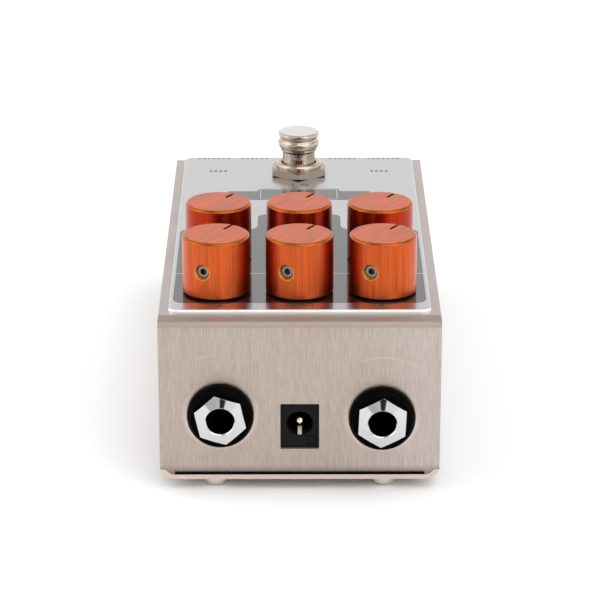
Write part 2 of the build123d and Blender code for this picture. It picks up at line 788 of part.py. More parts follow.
with BuildPart() as amplifier_chips:
    with BuildSketch(under_board):
        with Locations((-18, -14), (0, -14), (18, -14), (0, 16), (-12, 16)):
            Rectangle(5.0, 4.0)
    extrude(amount=-1.6)
save(amplifier_chips, "amplifier_chips")

# ---------------------------------------------------------------- ribbon cables
ribbon = 0.9
board_low = cover_top(board_y) + plate_up + (board_top - board_thickness) / cos(radians(slope))
link_y = jack_board_y + jack_board_length / 2 - 1.5
link_top = board_low - (link_y + 3.5 - board_y) * fall
with BuildPart() as board_ribbon:
    with BuildSketch(Plane.YZ):
        with BuildLine():
            FilletPolyline(
                (link_y, foot + jack_board_top + joint_gap),
                (link_y, foot + jack_board_top + 6.0),
                (link_y + 6.5, foot + jack_board_top + 11.0),
                (link_y + 3.5, foot + jack_board_top + 15.0),
                (link_y + 3.5, link_top - 0.1),
                radius=1.6,
            )
        trace(line_width=ribbon)
    extrude(amount=5.0, both=True)
save(board_ribbon, "board_ribbon")

switch_axis_z = cover_top(switch_y) + plate_up
lug_z = switch_axis_z - 23.0
edge_y = board_y + board_length / 2 - 3.0
edge_z = board_low - (edge_y - board_y) * fall
with BuildPart() as switch_ribbon:
    with BuildSketch(Plane.YZ):
        with BuildLine():
            FilletPolyline(
                (edge_y, edge_z - 0.1),
                (edge_y, edge_z - 9.0),
                (edge_y + 3.0, lug_z - 3.6),
                (switch_y - 8.0, lug_z - 4.4),
                (switch_y + 4.0, lug_z - 4.4),
                radius=2.0,
            )
        trace(line_width=ribbon)
    extrude(amount=6.0, both=True)
save(switch_ribbon, "switch_ribbon")
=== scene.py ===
"""Looks of a compact guitar effects pedal: brushed steel case, printed faceplate, orange
anodised knobs, nickelled foot switch, chromed jack nuts and a DC socket.

Metres, in the frame of the packed part: +Z up, -Y the panel with the sockets, +Y the end
with the foot switch, +X to the right as seen from the sockets.
"""
import json
from math import atan2, cos, pi, radians, sin

import bpy
from bpy.props import FloatProperty, FloatVectorProperty, IntProperty, PointerProperty
from mathutils import Matrix, Vector


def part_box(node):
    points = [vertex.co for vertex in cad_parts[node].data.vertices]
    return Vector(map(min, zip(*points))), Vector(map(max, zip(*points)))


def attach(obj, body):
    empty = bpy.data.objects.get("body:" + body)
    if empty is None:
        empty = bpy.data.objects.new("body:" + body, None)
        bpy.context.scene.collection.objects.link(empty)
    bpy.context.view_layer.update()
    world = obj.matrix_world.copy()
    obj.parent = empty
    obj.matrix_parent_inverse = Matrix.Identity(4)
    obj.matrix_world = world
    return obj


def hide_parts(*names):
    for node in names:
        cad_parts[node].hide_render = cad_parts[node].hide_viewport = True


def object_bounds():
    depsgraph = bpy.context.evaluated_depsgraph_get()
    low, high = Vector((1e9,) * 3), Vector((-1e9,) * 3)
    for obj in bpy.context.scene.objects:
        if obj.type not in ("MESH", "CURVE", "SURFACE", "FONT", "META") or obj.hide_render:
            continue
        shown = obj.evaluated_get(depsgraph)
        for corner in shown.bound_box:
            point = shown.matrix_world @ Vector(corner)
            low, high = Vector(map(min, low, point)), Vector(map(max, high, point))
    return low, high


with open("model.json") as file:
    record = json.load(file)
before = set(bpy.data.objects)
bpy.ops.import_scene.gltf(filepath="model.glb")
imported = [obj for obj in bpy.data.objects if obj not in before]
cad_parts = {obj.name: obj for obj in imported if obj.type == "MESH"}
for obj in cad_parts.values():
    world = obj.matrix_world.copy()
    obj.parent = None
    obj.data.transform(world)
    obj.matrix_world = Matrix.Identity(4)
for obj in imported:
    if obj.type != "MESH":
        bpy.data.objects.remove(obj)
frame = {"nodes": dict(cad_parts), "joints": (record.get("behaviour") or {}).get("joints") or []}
bpy.context.view_layer.update()
cad_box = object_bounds()

bl_info = {
    "name": "Effects pedal finisher",
    "version": (1, 0, 0),
    "blender": (4, 5, 0),
    "location": "3D View > Sidebar > Pedal",
    "description": "Gives a packed effects pedal its metals, print, mouldings and studio",
    "category": "Object",
}

MM = 0.001
COLUMNS = ("left", "middle", "right")
ROWS = ("rear", "front")
KNOBS = [f"{row}_{column}" for row in ROWS for column in COLUMNS]
SHEET = 1.2 * MM             # thickness of the case's sheet
DISC_EDGE = 0.12 * MM        # from a knob's top down to the edge of its disc
CHAMFER_FALL = 0.66 * MM     # from a knob's top down to the foot of its chamfer
SINK_RADIUS = 2.02 * MM      # countersink round a set screw
POINTER_END = 7.45 * MM      # from a knob's axis to the outer end of its pointer's paint
PAINT_GAP = 0.01 * MM        # keeps the paint off the walls of its slot
TICK_PITCH = 1.3             # between the small printed ticks, in millimetres
STOP_DOTS = 9.4 * MM         # from a knob's axis to the printed dots at its two stops
BANNER_STEP = 2 * MM         # by which the banner's tails are lower than its middle
BANNER_CORNER = 0.8 * MM
BANNER_FRAME = 0.6 * MM      # from the banner's edge in to its thin frame
JOINTS = {joint["name"]: joint for joint in frame["joints"]}


# -------- places on the pedal
def knob_centre(knob):
    """Point on the faceplate's top face under a knob."""
    return Vector(JOINTS[f"knob_{knob}_turn"]["pos_m"])


def plate_normal():
    """Unit vector out of the sloping faceplate."""
    return -Vector(JOINTS["footswitch_press"]["axis"]).normalized()


def plate_slope():
    """Angle by which the faceplate leans towards the foot switch end."""
    normal = plate_normal()
    return atan2(normal.y, normal.z)


def plate_place(x, y):
    """Matrix of a place on the faceplate's top face, local z along its normal."""
    middle = knob_centre("rear_middle")
    normal = plate_normal()
    z = middle.z - (y - middle.y) * normal.y / normal.z
    tilt = Matrix.Rotation(-plate_slope(), 4, "X")
    return Matrix.Translation((x, y, z)) @ tilt


def box_centre(node):
    """Middle of a node's box."""
    low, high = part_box(node)
    return (low + high) / 2


# -------- sizes and colours to change
def a_colour(name, description, default):
    """Setting that holds a colour."""
    return FloatVectorProperty(
        name=name, description=description, subtype="COLOR", default=default)


def a_length(name, description, default):
    """Setting that holds a length."""
    return FloatProperty(name=name, description=description, unit="LENGTH", default=default)


def an_angle(name, description, degrees):
    """Setting that holds an angle, given here in degrees."""
    return FloatProperty(
        name=name, description=description, subtype="ANGLE", default=radians(degrees))


def a_level(name, description, default, high=1.0):
    """Setting that holds a share or a brightness."""
    return FloatProperty(name=name, description=description, default=default, min=0.0, max=high)


class CaseFinish(bpy.types.PropertyGroup):
    """Finish of the folded steel case."""

    colour: a_colour("Steel", "Colour of the brushed stainless sheet", (0.49, 0.412, 0.360))
    cool_side: a_colour(
        "Cool side", "Colour of the sheet towards +X, where it is cooler", (0.53, 0.462, 0.42))
    # painted highlight: a lighter colour for the cover's flat margins beside the faceplate
    margin: a_colour(
        "Margins", "Colour of the cover's margins beside the faceplate", (0.60, 0.53, 0.52))
    roughness: a_level("Roughness", "Blur of the brushed sheet's reflections", 0.43)
    grain: a_length("Grain", "Width of one brush stroke", 0.24 * MM)


class FaceplatePrint(bpy.types.PropertyGroup):
    """Print on the satin faceplate. Places run from the rear knobs' centres to the front."""

    metal: a_colour("Plate", "Colour of the bare satin plate", (0.495, 0.485, 0.49))
    # painted highlight: the plate's rounded edge is painted almost white
    edge: a_colour("Edge", "Colour of the plate's polished rounded edge", (0.97, 0.96, 0.95))
    half_width: a_length("Panel half width", "Half the width of the black panel", 29.8 * MM)
    tab_half_width: a_length(
        "Tab half width", "Half the width of the panel's middle tab", 10.5 * MM)
    near_margin: a_length(
        "Near margin", "From the rear knobs' centres back to the panel's rear edge", 8.45 * MM)
    side_end: a_length("Panel end", "Place of the panel's far edge", 46.2 * MM)
    tab_end: a_length("Tab end", "Place of the end of the tab", 58.4 * MM)
    line_place: a_length("Line place", "Place of the pale line", 12.3 * MM)
    line_width: a_length("Line width", "Width of the pale printed line", 0.28 * MM)
    corner: a_length("Corner", "Radius of the panel's corners", 2.6 * MM)
    banner_place: a_length("Banner place", "Place of the banner's middle", 75.2 * MM)
    banner_half_width: a_length(
        "Banner half width", "Half the width of the banner's middle", 10.6 * MM)
    banner_half_depth: a_length(
        "Banner half depth", "Half the depth of the banner's middle", 4.6 * MM)
    banner_tail: a_length("Banner tail", "Length of each of the banner's tails", 8.0 * MM)
    symbol_place: a_length("Symbol place", "Place of the sockets' symbols", -10.2 * MM)
    lacquer: a_length("Lacquer", "Thickness of the printed lacquer", 0.03 * MM)


class KnobFinish(bpy.types.PropertyGroup):
    """Finish of the turned knobs."""

    side: a_colour("Side", "Orange of the rear row's turned sides", (0.57, 0.095, 0.019))
    # painted shade: a darker orange for the front row's sides, which stand behind the rear row
    shaded_side: a_colour(
        "Shaded side", "Orange of the front row's sides, behind the rear row", (0.40, 0.028, 0.003))
    disc: a_colour("Disc", "Orange of the brushed top discs", (0.65, 0.104, 0.009))
    rim: a_colour("Rim", "Orange of the polished rims", (0.46, 0.120, 0.015))
    sink: a_colour("Countersink", "Bright countersinks round the set screws", (0.80, 0.36, 0.10))
    roughness: a_level("Roughness", "Blur of the anodised metal's reflections", 0.34)
    pointer_angle: an_angle(
        "Pointer angle", "Pointer at the stop, from the foot switch side to +X", 30)
    pointer_start: a_length(
        "Pointer start", "From the knob's axis to the pointer's inner end", 3.5 * MM)
    pointer_width: a_length("Pointer width", "Width of the pointer's engraved slot", 0.85 * MM)
    pointer_depth: a_length("Pointer depth", "Depth of the pointer's engraved slot", 0.30 * MM)


class BrightMetals(bpy.types.PropertyGroup):
    """Colours of the plated metals."""

    nickel: a_colour("Nickel", "Foot switch and lamp bezel", (0.56, 0.47, 0.39))
    dull_nickel: a_colour("Dull nickel", "Hexagon nut of the foot switch", (0.43, 0.355, 0.295))
    # painted highlight: the lighter top colour is painted on the foot switch's up-facing faces
    highlighted_nickel: a_colour(
        "Worn nickel", "Top of the foot switch, rubbed by shoes", (0.70, 0.68, 0.67))
    screws: a_colour("Dome screws", "Screws under the base", (0.74, 0.69, 0.62))
    chrome: a_colour("Chrome", "Jack nuts and switch lugs", (0.63, 0.63, 0.635))
    # steel of the set screws, darkened as painted shade of a deeper recess
    shaded_grub_steel: a_colour("Grub steel", "Set screws in the knobs", (0.25, 0.21, 0.175))
    plated_steel: a_colour(
        "Plated steel", "Shafts, washers, spacers, springs, hidden nuts", (0.56, 0.54, 0.50))


class Studio(bpy.types.PropertyGroup):
    """Camera, floor and light."""

    elevation: an_angle("Elevation", "Camera's angle above the horizon", 22.70)
    turn: an_angle("Turn", "Camera's angle from straight behind the sockets", 0.151)
    distance: a_length("Distance", "Camera to the point it looks at", 0.76086)
    lens: FloatProperty(name="Lens", description="Focal length in millimetres", default=179.69)
    floor_size: a_length("Floor", "Radius of the floor", 9.0)
    backdrop: a_level("Backdrop", "Brightness of the white backdrop", 1.05, 10.0)
    ceiling: a_level("Ceiling", "Brightness overhead, between the soft boxes", 0.60, 10.0)
    top_light: a_level("Top light", "Watts of the large soft light over the floor", 4.0, 1000.0)
    seed: IntProperty(name="Seed", description="Shifts every knob's and the case's grain", default=7)


# brightness, then the span of the direction along X and along Y, for each overhead soft box
SOFT_BOXES = (
    (1.75, -0.10, 0.78, -0.82, 0.16),
    (1.75, -0.96, -0.48, -0.40, 0.42),
)

SETTINGS = {
    "pedal_case": CaseFinish,
    "pedal_print": FaceplatePrint,
    "pedal_knobs": KnobFinish,
    "pedal_metals": BrightMetals,
    "pedal_studio": Studio,
}


# -------- node building
def add(tree, kind, inputs=None, **settings):
    """Add a node, set its properties, and fill its inputs with links or constants."""
    made = tree.nodes.new(kind)
    for name, value in settings.items():
        setattr(made, name, value)
    for name, value in (inputs or {}).items():
        if isinstance(value, bpy.types.NodeSocket):
            tree.links.new(value, made.inputs[name])
        else:
            made.inputs[name].default_value = value
    return made


def sums(tree, operation, *values, clamp=False):
    """Output of a Math node."""
    inputs = dict(enumerate(values))
    return add(tree, "ShaderNodeMath", inputs, operation=operation, use_clamp=clamp).outputs[0]


def times(tree, first, second):
    """Product of two values."""
    return sums(tree, "MULTIPLY", first, second)


def plus(tree, first, second):
    """Sum of two values."""
    return sums(tree, "ADD", first, second)


def other_than(tree, mask):
    """Mask of everything outside another mask."""
    return sums(tree, "SUBTRACT", 1.0, mask)


def vectors(tree, operation, *values):
    """Output of a Vector Math node."""
    made = add(tree, "ShaderNodeVectorMath", dict(enumerate(values)), operation=operation)
    return made.outputs["Value" if operation in {"DOT_PRODUCT", "LENGTH"} else "Vector"]


def ramp(tree, value, low, high, to_low=0.0, to_high=1.0, smooth=False):
    """Map a value from low..high to to_low..to_high, clamped."""
    kind = "SMOOTHSTEP" if smooth else "LINEAR"
    inputs = {
        "Value": value, "From Min": low, "From Max": high,
        "To Min": to_low, "To Max": to_high,
    }
    made = add(tree, "ShaderNodeMapRange", inputs, interpolation_type=kind, clamp=True)
    return made.outputs["Result"]


def mixed(tree, share, first, second):
    """Blend of two colours."""
    def colour(value):
        return value if isinstance(value, bpy.types.NodeSocket) else (*value, 1.0)

    inputs = {0: share, 6: colour(first), 7: colour(second)}
    return add(tree, "ShaderNodeMix", inputs, data_type="RGBA", clamp_factor=True).outputs[2]


def shade(colour, factor):
    """Lighter or darker shade of a colour."""
    return [min(1.0, c * factor) for c in colour]


def new_group(name, inputs, outputs):
    """Empty shader node group with named sockets: its tree, input node and output node."""
    tree = bpy.data.node_groups.new(name, "ShaderNodeTree")
    for label, (kind, default) in inputs.items():
        socket = tree.interface.new_socket(label, in_out="INPUT", socket_type=kind)
        socket.default_value = default
    for label, kind in outputs.items():
        tree.interface.new_socket(label, in_out="OUTPUT", socket_type=kind)
    return tree, tree.nodes.new("NodeGroupInput").outputs, tree.nodes.new("NodeGroupOutput")


def place_group(tree, name, inputs):
    """Put a shared node group in a material and return its outputs."""
    return add(tree, "ShaderNodeGroup", inputs, node_tree=bpy.data.node_groups[name]).outputs


def new_material(name, **constants):
    """Material with one Principled BSDF: the material, its tree and the shader's inputs."""
    material = bpy.data.materials.new(name)
    material.use_nodes = True
    tree = material.node_tree
    shader = tree.nodes["Principled BSDF"]
    for label, value in constants.items():
        shader.inputs[label.replace("_", " ").title().replace("Ior", "IOR")].default_value = value
    return material, tree, shader.inputs


def here(tree):
    """Coordinates on the piece, in metres in the pedal's frame."""
    return tree.nodes.new("ShaderNodeTexCoord").outputs["Object"]


def split(tree, vector):
    """The X, Y and Z of a vector."""
    return add(tree, "ShaderNodeSeparateXYZ", {"Vector": vector}).outputs


def facing(tree):
    """Normal of the surface."""
    return tree.nodes.new("ShaderNodeNewGeometry").outputs["Normal"]


def upward(tree):
    """How far the surface faces up, from -1 to 1."""
    return split(tree, facing(tree))["Z"]


def noise(tree, vector, scale, detail=2.0, **more):
    """Value of a noise pattern."""
    inputs = {"Vector": vector, "Scale": scale, "Detail": detail}
    inputs.update((label.title(), value) for label, value in more.items())
    return add(tree, "ShaderNodeTexNoise", inputs).outputs["Fac"]


def blend(tree, share, first, second):
    """Blend of two values."""
    return add(tree, "ShaderNodeMix", {0: share, 2: first, 3: second}).outputs[0]


# -------- shared effects
FLOAT = "NodeSocketFloat"
VECTOR = "NodeSocketVector"


def make_brushed_grain():
    """Long fine strokes: a vector stretched by strokes per metre along each axis."""
    inputs = {
        "Coordinates": (VECTOR, (0, 0, 0)),
        "Strokes": (VECTOR, (5000, 5000, 100)),
        "Contrast": (FLOAT, 0.5),
        "Seed": (FLOAT, 0.0),
    }
    tree, given, result = new_group("brushed grain", inputs, {"Grain": FLOAT})
    stretched = vectors(tree, "MULTIPLY", given["Coordinates"], given["Strokes"])
    moved = vectors(tree, "ADD", stretched, given["Seed"])
    fine = noise(tree, moved, 1.0, 3.0, roughness=0.65)
    wide = noise(tree, moved, 0.16, roughness=0.5)
    both = plus(tree, times(tree, fine, 0.8), times(tree, wide, 0.2))
    centred = sums(tree, "SUBTRACT", both, 0.5)
    spread = times(tree, centred, times(tree, given["Contrast"], 6.0))
    tree.links.new(sums(tree, "ADD", spread, 0.5, clamp=True), result.inputs["Grain"])


def make_handling_marks():
    """Faint smears and a few specks of dust."""
    inputs = {
        "Coordinates": (VECTOR, (0, 0, 0)),
        "Smear Size": (FLOAT, 0.02),
        "Speck Size": (FLOAT, 0.0006),
    }
    tree, given, result = new_group("handling marks", inputs, {"Smears": FLOAT, "Specks": FLOAT})
    place = given["Coordinates"]
    smear_scale = sums(tree, "DIVIDE", 1.0, given["Smear Size"])
    smears = noise(tree, place, smear_scale, 5.0, roughness=0.6, distortion=0.8)
    tree.links.new(ramp(tree, smears, 0.42, 0.68, smooth=True), result.inputs["Smears"])
    speck_scale = sums(tree, "DIVIDE", 1.0, given["Speck Size"])
    cells = add(tree, "ShaderNodeTexVoronoi", {"Vector": place, "Scale": speck_scale})
    lot = vectors(tree, "DOT_PRODUCT", cells.outputs["Color"], (1, 0, 0))
    chosen = sums(tree, "GREATER_THAN", lot, 0.965)
    dot = ramp(tree, cells.outputs["Distance"], 0.10, 0.18, 1.0, 0.0)
    tree.links.new(times(tree, chosen, dot), result.inputs["Specks"])


def make_softened_edge():
    """Normal of a slightly rounded edge, and a mask of where the edge is."""
    inputs = {"Radius": (FLOAT, 0.15 * MM)}
    tree, given, result = new_group("softened edge", inputs, {"Normal": VECTOR, "Edge": FLOAT})
    rounded = add(tree, "ShaderNodeBevel", {"Radius": given["Radius"]}, samples=4).outputs[0]
    true_normal = tree.nodes.new("ShaderNodeNewGeometry").outputs["True Normal"]
    agreement = vectors(tree, "DOT_PRODUCT", rounded, true_normal)
    tree.links.new(rounded, result.inputs["Normal"])
    tree.links.new(ramp(tree, agreement, 0.97, 0.80), result.inputs["Edge"])


def make_turned_place():
    """Coordinates about a turned piece's axis: local vector, radius and height."""
    inputs = {"Centre": (VECTOR, (0, 0, 0)), "Lean": (FLOAT, 0.0), "Turn": (FLOAT, 0.0)}
    outputs = {"Local": VECTOR, "Radius": FLOAT, "Height": FLOAT}
    tree, given, result = new_group("turned place", inputs, outputs)
    local = vectors(tree, "SUBTRACT", here(tree), given["Centre"])
    for turn, axis in (("Lean", "X_AXIS"), ("Turn", "Z_AXIS")):
        inputs = {"Vector": local, "Angle": given[turn]}
        local = add(tree, "ShaderNodeVectorRotate", inputs, rotation_type=axis).outputs[0]
    flat = vectors(tree, "MULTIPLY", local, (1, 1, 0))
    tree.links.new(local, result.inputs["Local"])
    tree.links.new(vectors(tree, "LENGTH", flat), result.inputs["Radius"])
    tree.links.new(split(tree, local)["Z"], result.inputs["Height"])


def strokes_on(tree, coordinates, strokes, contrast, seed=0.0):
    """Brush strokes in a material, from 0 to 1."""
    return place_group(tree, "brushed grain", {
        "Coordinates": coordinates, "Strokes": strokes, "Contrast": contrast, "Seed": seed,
    })["Grain"]


def round_axis(tree, place):
    """Coordinates whose strokes run round the axis of a turned place."""
    return add(tree, "ShaderNodeCombineXYZ", {"X": place["Radius"], "Y": place["Height"]}).outputs[0]


def marks_on(tree, smear_size, speck_size):
    """Handling marks in a material."""
    return place_group(tree, "handling marks", {
        "Coordinates": here(tree), "Smear Size": smear_size, "Speck Size": speck_size,
    })


def edge_on(tree, radius):
    """Softened edge in a material."""
    return place_group(tree, "softened edge", {"Radius": radius})


def bump(tree, height, distance, normal):
    """Normal of a surface with this height pattern."""
    inputs = {"Height": height, "Distance": distance, "Strength": 1.0, "Normal": normal}
    return add(tree, "ShaderNodeBump", inputs).outputs["Normal"]


# -------- metals
def within(tree, value, low, high):
    """1 where a value lies between two bounds."""
    over, under = sums(tree, "GREATER_THAN", value, low), sums(tree, "LESS_THAN", value, high)
    return times(tree, over, under)


def brushed_steel(name, strokes, end_highlight=None, lower_edge=None):
    """Stainless sheet with its grain along the axis that has the fewest strokes.

    The surfaces that face along Y can be painted lighter by a given factor, a painted highlight, and
    painted shade darkens their lowest part, just over the height lower_edge.
    """
    look = bpy.context.scene.pedal_case
    material, tree, shader = new_material(name, metallic=1.0)
    grain = strokes_on(tree, here(tree), strokes, 0.55, float(bpy.context.scene.pedal_studio.seed))
    marks = marks_on(tree, 16 * MM, 1.1 * MM)
    edge = edge_on(tree, 0.14 * MM)
    dark = shade(look.colour, 0.80)
    x, y, z = split(tree, here(tree))
    warm = mixed(tree, grain, dark, shade(look.colour, 1.14))
    cool = mixed(tree, grain, shade(look.cool_side, 0.80), shade(look.cool_side, 1.14))
    stroke = mixed(tree, ramp(tree, x, 8 * MM, 30 * MM, smooth=True), warm, cool)
    # painted highlight: the sheet's edges are painted lighter than the rest
    highlighted = mixed(tree, edge["Edge"], stroke, shade(look.colour, 1.28))
    smeared = mixed(tree, times(tree, marks["Smears"], 0.10), highlighted, dark)
    lengthways = split(tree, facing(tree))["Y"]
    end_face = ramp(tree, sums(tree, "ABSOLUTE", lengthways), 0.8, 0.95)
    polish_and_painted_light = smeared
    # painted highlight on the faces along Y
    if end_highlight:
        polish_and_painted_light = mixed(tree, end_face, polish_and_painted_light, shade(look.colour, end_highlight))
    # painted shade: the faces along Y are painted darker towards their bottom edge
    if lower_edge:
        low = ramp(tree, z, lower_edge + 0.4 * MM, lower_edge + 2.6 * MM, 0.75, 0.0)
        polish_and_painted_light = mixed(tree, times(tree, end_face, low), polish_and_painted_light, shade(look.colour, 0.35))
    # painted highlight rings round the jacks' collars, which lift the dark reflection of each collar
    # in the steel, and faint scuffs above them from the barrels of plugs
    for side in ("left", "right"):
        centre = box_centre(f"jack_collar_{side}")
        away = vectors(tree, "SUBTRACT", here(tree), centre)
        distance = vectors(tree, "LENGTH", vectors(tree, "MULTIPLY", away, (1, 0, 1)))
        ring = ramp(tree, distance, 7.9 * MM, 9.5 * MM, 0.42, 0.0, smooth=True)
        faint = ramp(tree, marks["Smears"], 0.1, 0.8, 0.0, 0.13)
        scuff = times(tree, within(tree, distance, 14.8 * MM, 15.3 * MM), faint)
        above = sums(tree, "GREATER_THAN", z, centre.z + 9 * MM)
        ring = plus(tree, ring, times(tree, scuff, above))
        outside = times(tree, ring, sums(tree, "LESS_THAN", lengthways, -0.9))
        polish_and_painted_light = mixed(tree, outside, polish_and_painted_light, shade(look.colour, 1.95))
    # the bends and the strips beyond the faceplate's ends are painted darker, a painted shade, and
    # are rougher
    low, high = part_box("faceplate")
    beyond = other_than(tree, within(tree, y, low.y, high.y))
    bend = times(tree, ramp(tree, upward(tree), 0.02, 0.40, smooth=True), beyond)
    darker = mixed(tree, times(tree, bend, 0.8), polish_and_painted_light, shade(look.colour, 0.90))
    # painted highlight on the cover's flat margins beside the faceplate
    margin = times(tree, ramp(tree, upward(tree), 0.90, 0.98), other_than(tree, beyond))
    margined = mixed(tree, times(tree, margin, 0.9), darker, look.margin)
    # no light reaches the floor of the tray at the gap under the cover
    gap = times(tree, ramp(tree, upward(tree), 0.5, 0.9), sums(tree, "LESS_THAN", z, 6 * MM))
    tree.links.new(mixed(tree, gap, margined, (0.03, 0.025, 0.02)), shader["Base Color"])
    rough = plus(tree, look.roughness - 0.04, times(tree, grain, 0.08))
    greasy = plus(tree, rough, times(tree, marks["Smears"], 0.05))
    tree.links.new(plus(tree, greasy, times(tree, bend, 0.16)), shader["Roughness"])
    tree.links.new(bump(tree, grain, 0.006 * MM, edge["Normal"]), shader["Normal"])
    return material


def satin_plate():
    """Silver plate with a very fine grain under a clear coat."""
    look = bpy.context.scene.pedal_print
    material, tree, shader = new_material(
        "satin faceplate", metallic=1.0, coat_weight=1.0, coat_roughness=0.05, coat_ior=1.5,
    )
    grain = strokes_on(tree, here(tree), (9000, 260, 9000), 0.45)
    marks = marks_on(tree, 20 * MM, 1.3 * MM)
    edge = edge_on(tree, 0.5 * MM)
    stroke = mixed(tree, grain, shade(look.metal, 0.93), shade(look.metal, 1.05))
    dusty = mixed(tree, times(tree, marks["Specks"], 0.35), stroke, (0.8, 0.8, 0.8))
    # painted highlight: the rounded edge is painted almost white where it turns away from the top,
    # and is rougher
    lean = split(tree, edge["Normal"])["Y"]
    turned_away = ramp(tree, sums(tree, "ABSOLUTE", lean), 0.09, 0.25)
    tree.links.new(mixed(tree, turned_away, dusty, look.edge), shader["Base Color"])
    rough = plus(tree, 0.31, times(tree, marks["Smears"], 0.02))
    rough = plus(tree, rough, times(tree, turned_away, 0.20))
    tree.links.new(plus(tree, rough, times(tree, grain, 0.04)), shader["Roughness"])
    tree.links.new(edge["Normal"], shader["Normal"])
    return material


def print_ink(name, colour, gloss, coat=0.45, shine=0.5):
    """Printed lacquer: smooth, glossy, with faint smears and specks of dust."""
    material, tree, shader = new_material(
        name, coat_weight=coat, coat_roughness=0.03, coat_ior=1.5, specular_ior_level=shine,
    )
    marks = marks_on(tree, 12 * MM, 0.9 * MM)
    mottle = mixed(tree, marks["Smears"], colour, [min(1.0, c * 1.12 + 0.002) for c in colour])
    dusty = mixed(tree, times(tree, marks["Specks"], 0.4), mottle, (0.55, 0.55, 0.55))
    tree.links.new(dusty, shader["Base Color"])
    rough = plus(tree, gloss, times(tree, marks["Smears"], 0.06))
    tree.links.new(rough, shader["Roughness"])
    return material


def orange_anodised(knob):
    """Turned knob: streaked side, bright chamfer and a disc brushed along the pointer."""
    look = bpy.context.scene.pedal_knobs
    material, tree, shader = new_material(
        f"orange anodised {knob}", metallic=1.0,
        coat_weight=0.2, coat_roughness=0.16, coat_ior=1.4,
    )
    place = place_group(tree, "turned place", {
        "Centre": knob_centre(knob), "Lean": plate_slope(), "Turn": look.pointer_angle,
    })
    seed = float(KNOBS.index(knob) * 13 + bpy.context.scene.pedal_studio.seed)
    side = strokes_on(tree, place["Local"], (7000, 7000, 60), 0.75, seed)
    disc = strokes_on(tree, place["Local"], (4400, 120, 120), 1.1, seed)
    rings = strokes_on(tree, round_axis(tree, place), (9000, 9000, 1), 0.5, seed)
    rise = knob_rise(knob)
    on_disc = sums(tree, "GREATER_THAN", place["Height"], rise - DISC_EDGE)
    over_side = sums(tree, "GREATER_THAN", place["Height"], rise - CHAMFER_FALL)
    on_chamfer = times(tree, over_side, other_than(tree, on_disc))
    # the rear row's sides take their dye; the front row's take a darker orange, a painted shade
    dye_and_painted_shade = look.side if knob.startswith("rear") else look.shaded_side
    side_colour = mixed(tree, side, shade(dye_and_painted_shade, 0.68), shade(dye_and_painted_shade, 1.28))
    disc_colour = mixed(tree, disc, shade(look.disc, 0.68), shade(look.disc, 1.24))
    ring_colour = mixed(tree, rings, shade(look.rim, 0.9), shade(look.rim, 1.08))
    with_disc = mixed(tree, on_disc, side_colour, disc_colour)
    turned = mixed(tree, on_chamfer, with_disc, ring_colour)
    screw = box_centre(f"set_screw_{knob}")
    outward = screw - knob_centre(knob)
    outward = (outward - plate_normal() * outward.dot(plate_normal())).normalized()
    from_screw = vectors(tree, "SUBTRACT", here(tree), screw)
    out = vectors(tree, "DOT_PRODUCT", from_screw, outward)
    from_axis = vectors(tree, "LENGTH", vectors(tree, "CROSS_PRODUCT", from_screw, outward))
    near_screw = ramp(tree, from_axis, SINK_RADIUS, SINK_RADIUS - 0.06 * MM)
    on_sink = times(tree, sums(tree, "GREATER_THAN", out, 0.0), near_screw)
    tree.links.new(mixed(tree, on_sink, turned, look.sink), shader["Base Color"])
    grain = blend(tree, on_disc, side, disc)
    rough = plus(tree, look.roughness - 0.04, times(tree, grain, 0.08))
    polish = times(tree, on_chamfer, 0.14)
    tree.links.new(sums(tree, "SUBTRACT", rough, polish), shader["Roughness"])
    edge = edge_on(tree, 0.25 * MM)
    strength = times(tree, grain, other_than(tree, on_chamfer))
    tree.links.new(bump(tree, strength, 0.008 * MM, edge["Normal"]), shader["Normal"])
    return material


def knob_rise(knob):
    """Height of a knob's disc above the faceplate, along the faceplate's normal."""
    vertices = frame["nodes"][f"knob_{knob}"].data.vertices
    centre, normal = knob_centre(knob), plate_normal()
    return max((v.co - centre).dot(normal) for v in vertices)


def plated_metal(name, colour, roughness, centre=(0, 0, 0), lean=0.0, turned=0.3, top=None):
    """Plated metal with faint tool marks round an axis; top is a lighter colour painted on the faces
    that point up, a painted highlight.
    """
    material, tree, shader = new_material(name, metallic=1.0)
    place = place_group(tree, "turned place", {"Centre": centre, "Lean": lean})
    rings = strokes_on(tree, round_axis(tree, place), (7000, 7000, 1), 0.5)
    marks = marks_on(tree, 6 * MM, 0.8 * MM)
    edge = edge_on(tree, 0.07 * MM)
    tint = mixed(tree, rings, shade(colour, 1 - 0.12 * turned), colour)
    dulled = mixed(tree, times(tree, marks["Smears"], 0.12), tint, shade(colour, 0.85))
    # faces that point up take the top colour: a painted highlight
    crowned = mixed(tree, ramp(tree, upward(tree), 0.80, 0.95), dulled, top) if top else dulled
    tree.links.new(crowned, shader["Base Color"])
    smear = times(tree, marks["Smears"], 0.05)
    ring = times(tree, rings, 0.05 * turned)
    tree.links.new(plus(tree, roughness, plus(tree, smear, ring)), shader["Roughness"])
    tree.links.new(bump(tree, rings, 0.002 * MM * turned, edge["Normal"]), shader["Normal"])
    return material


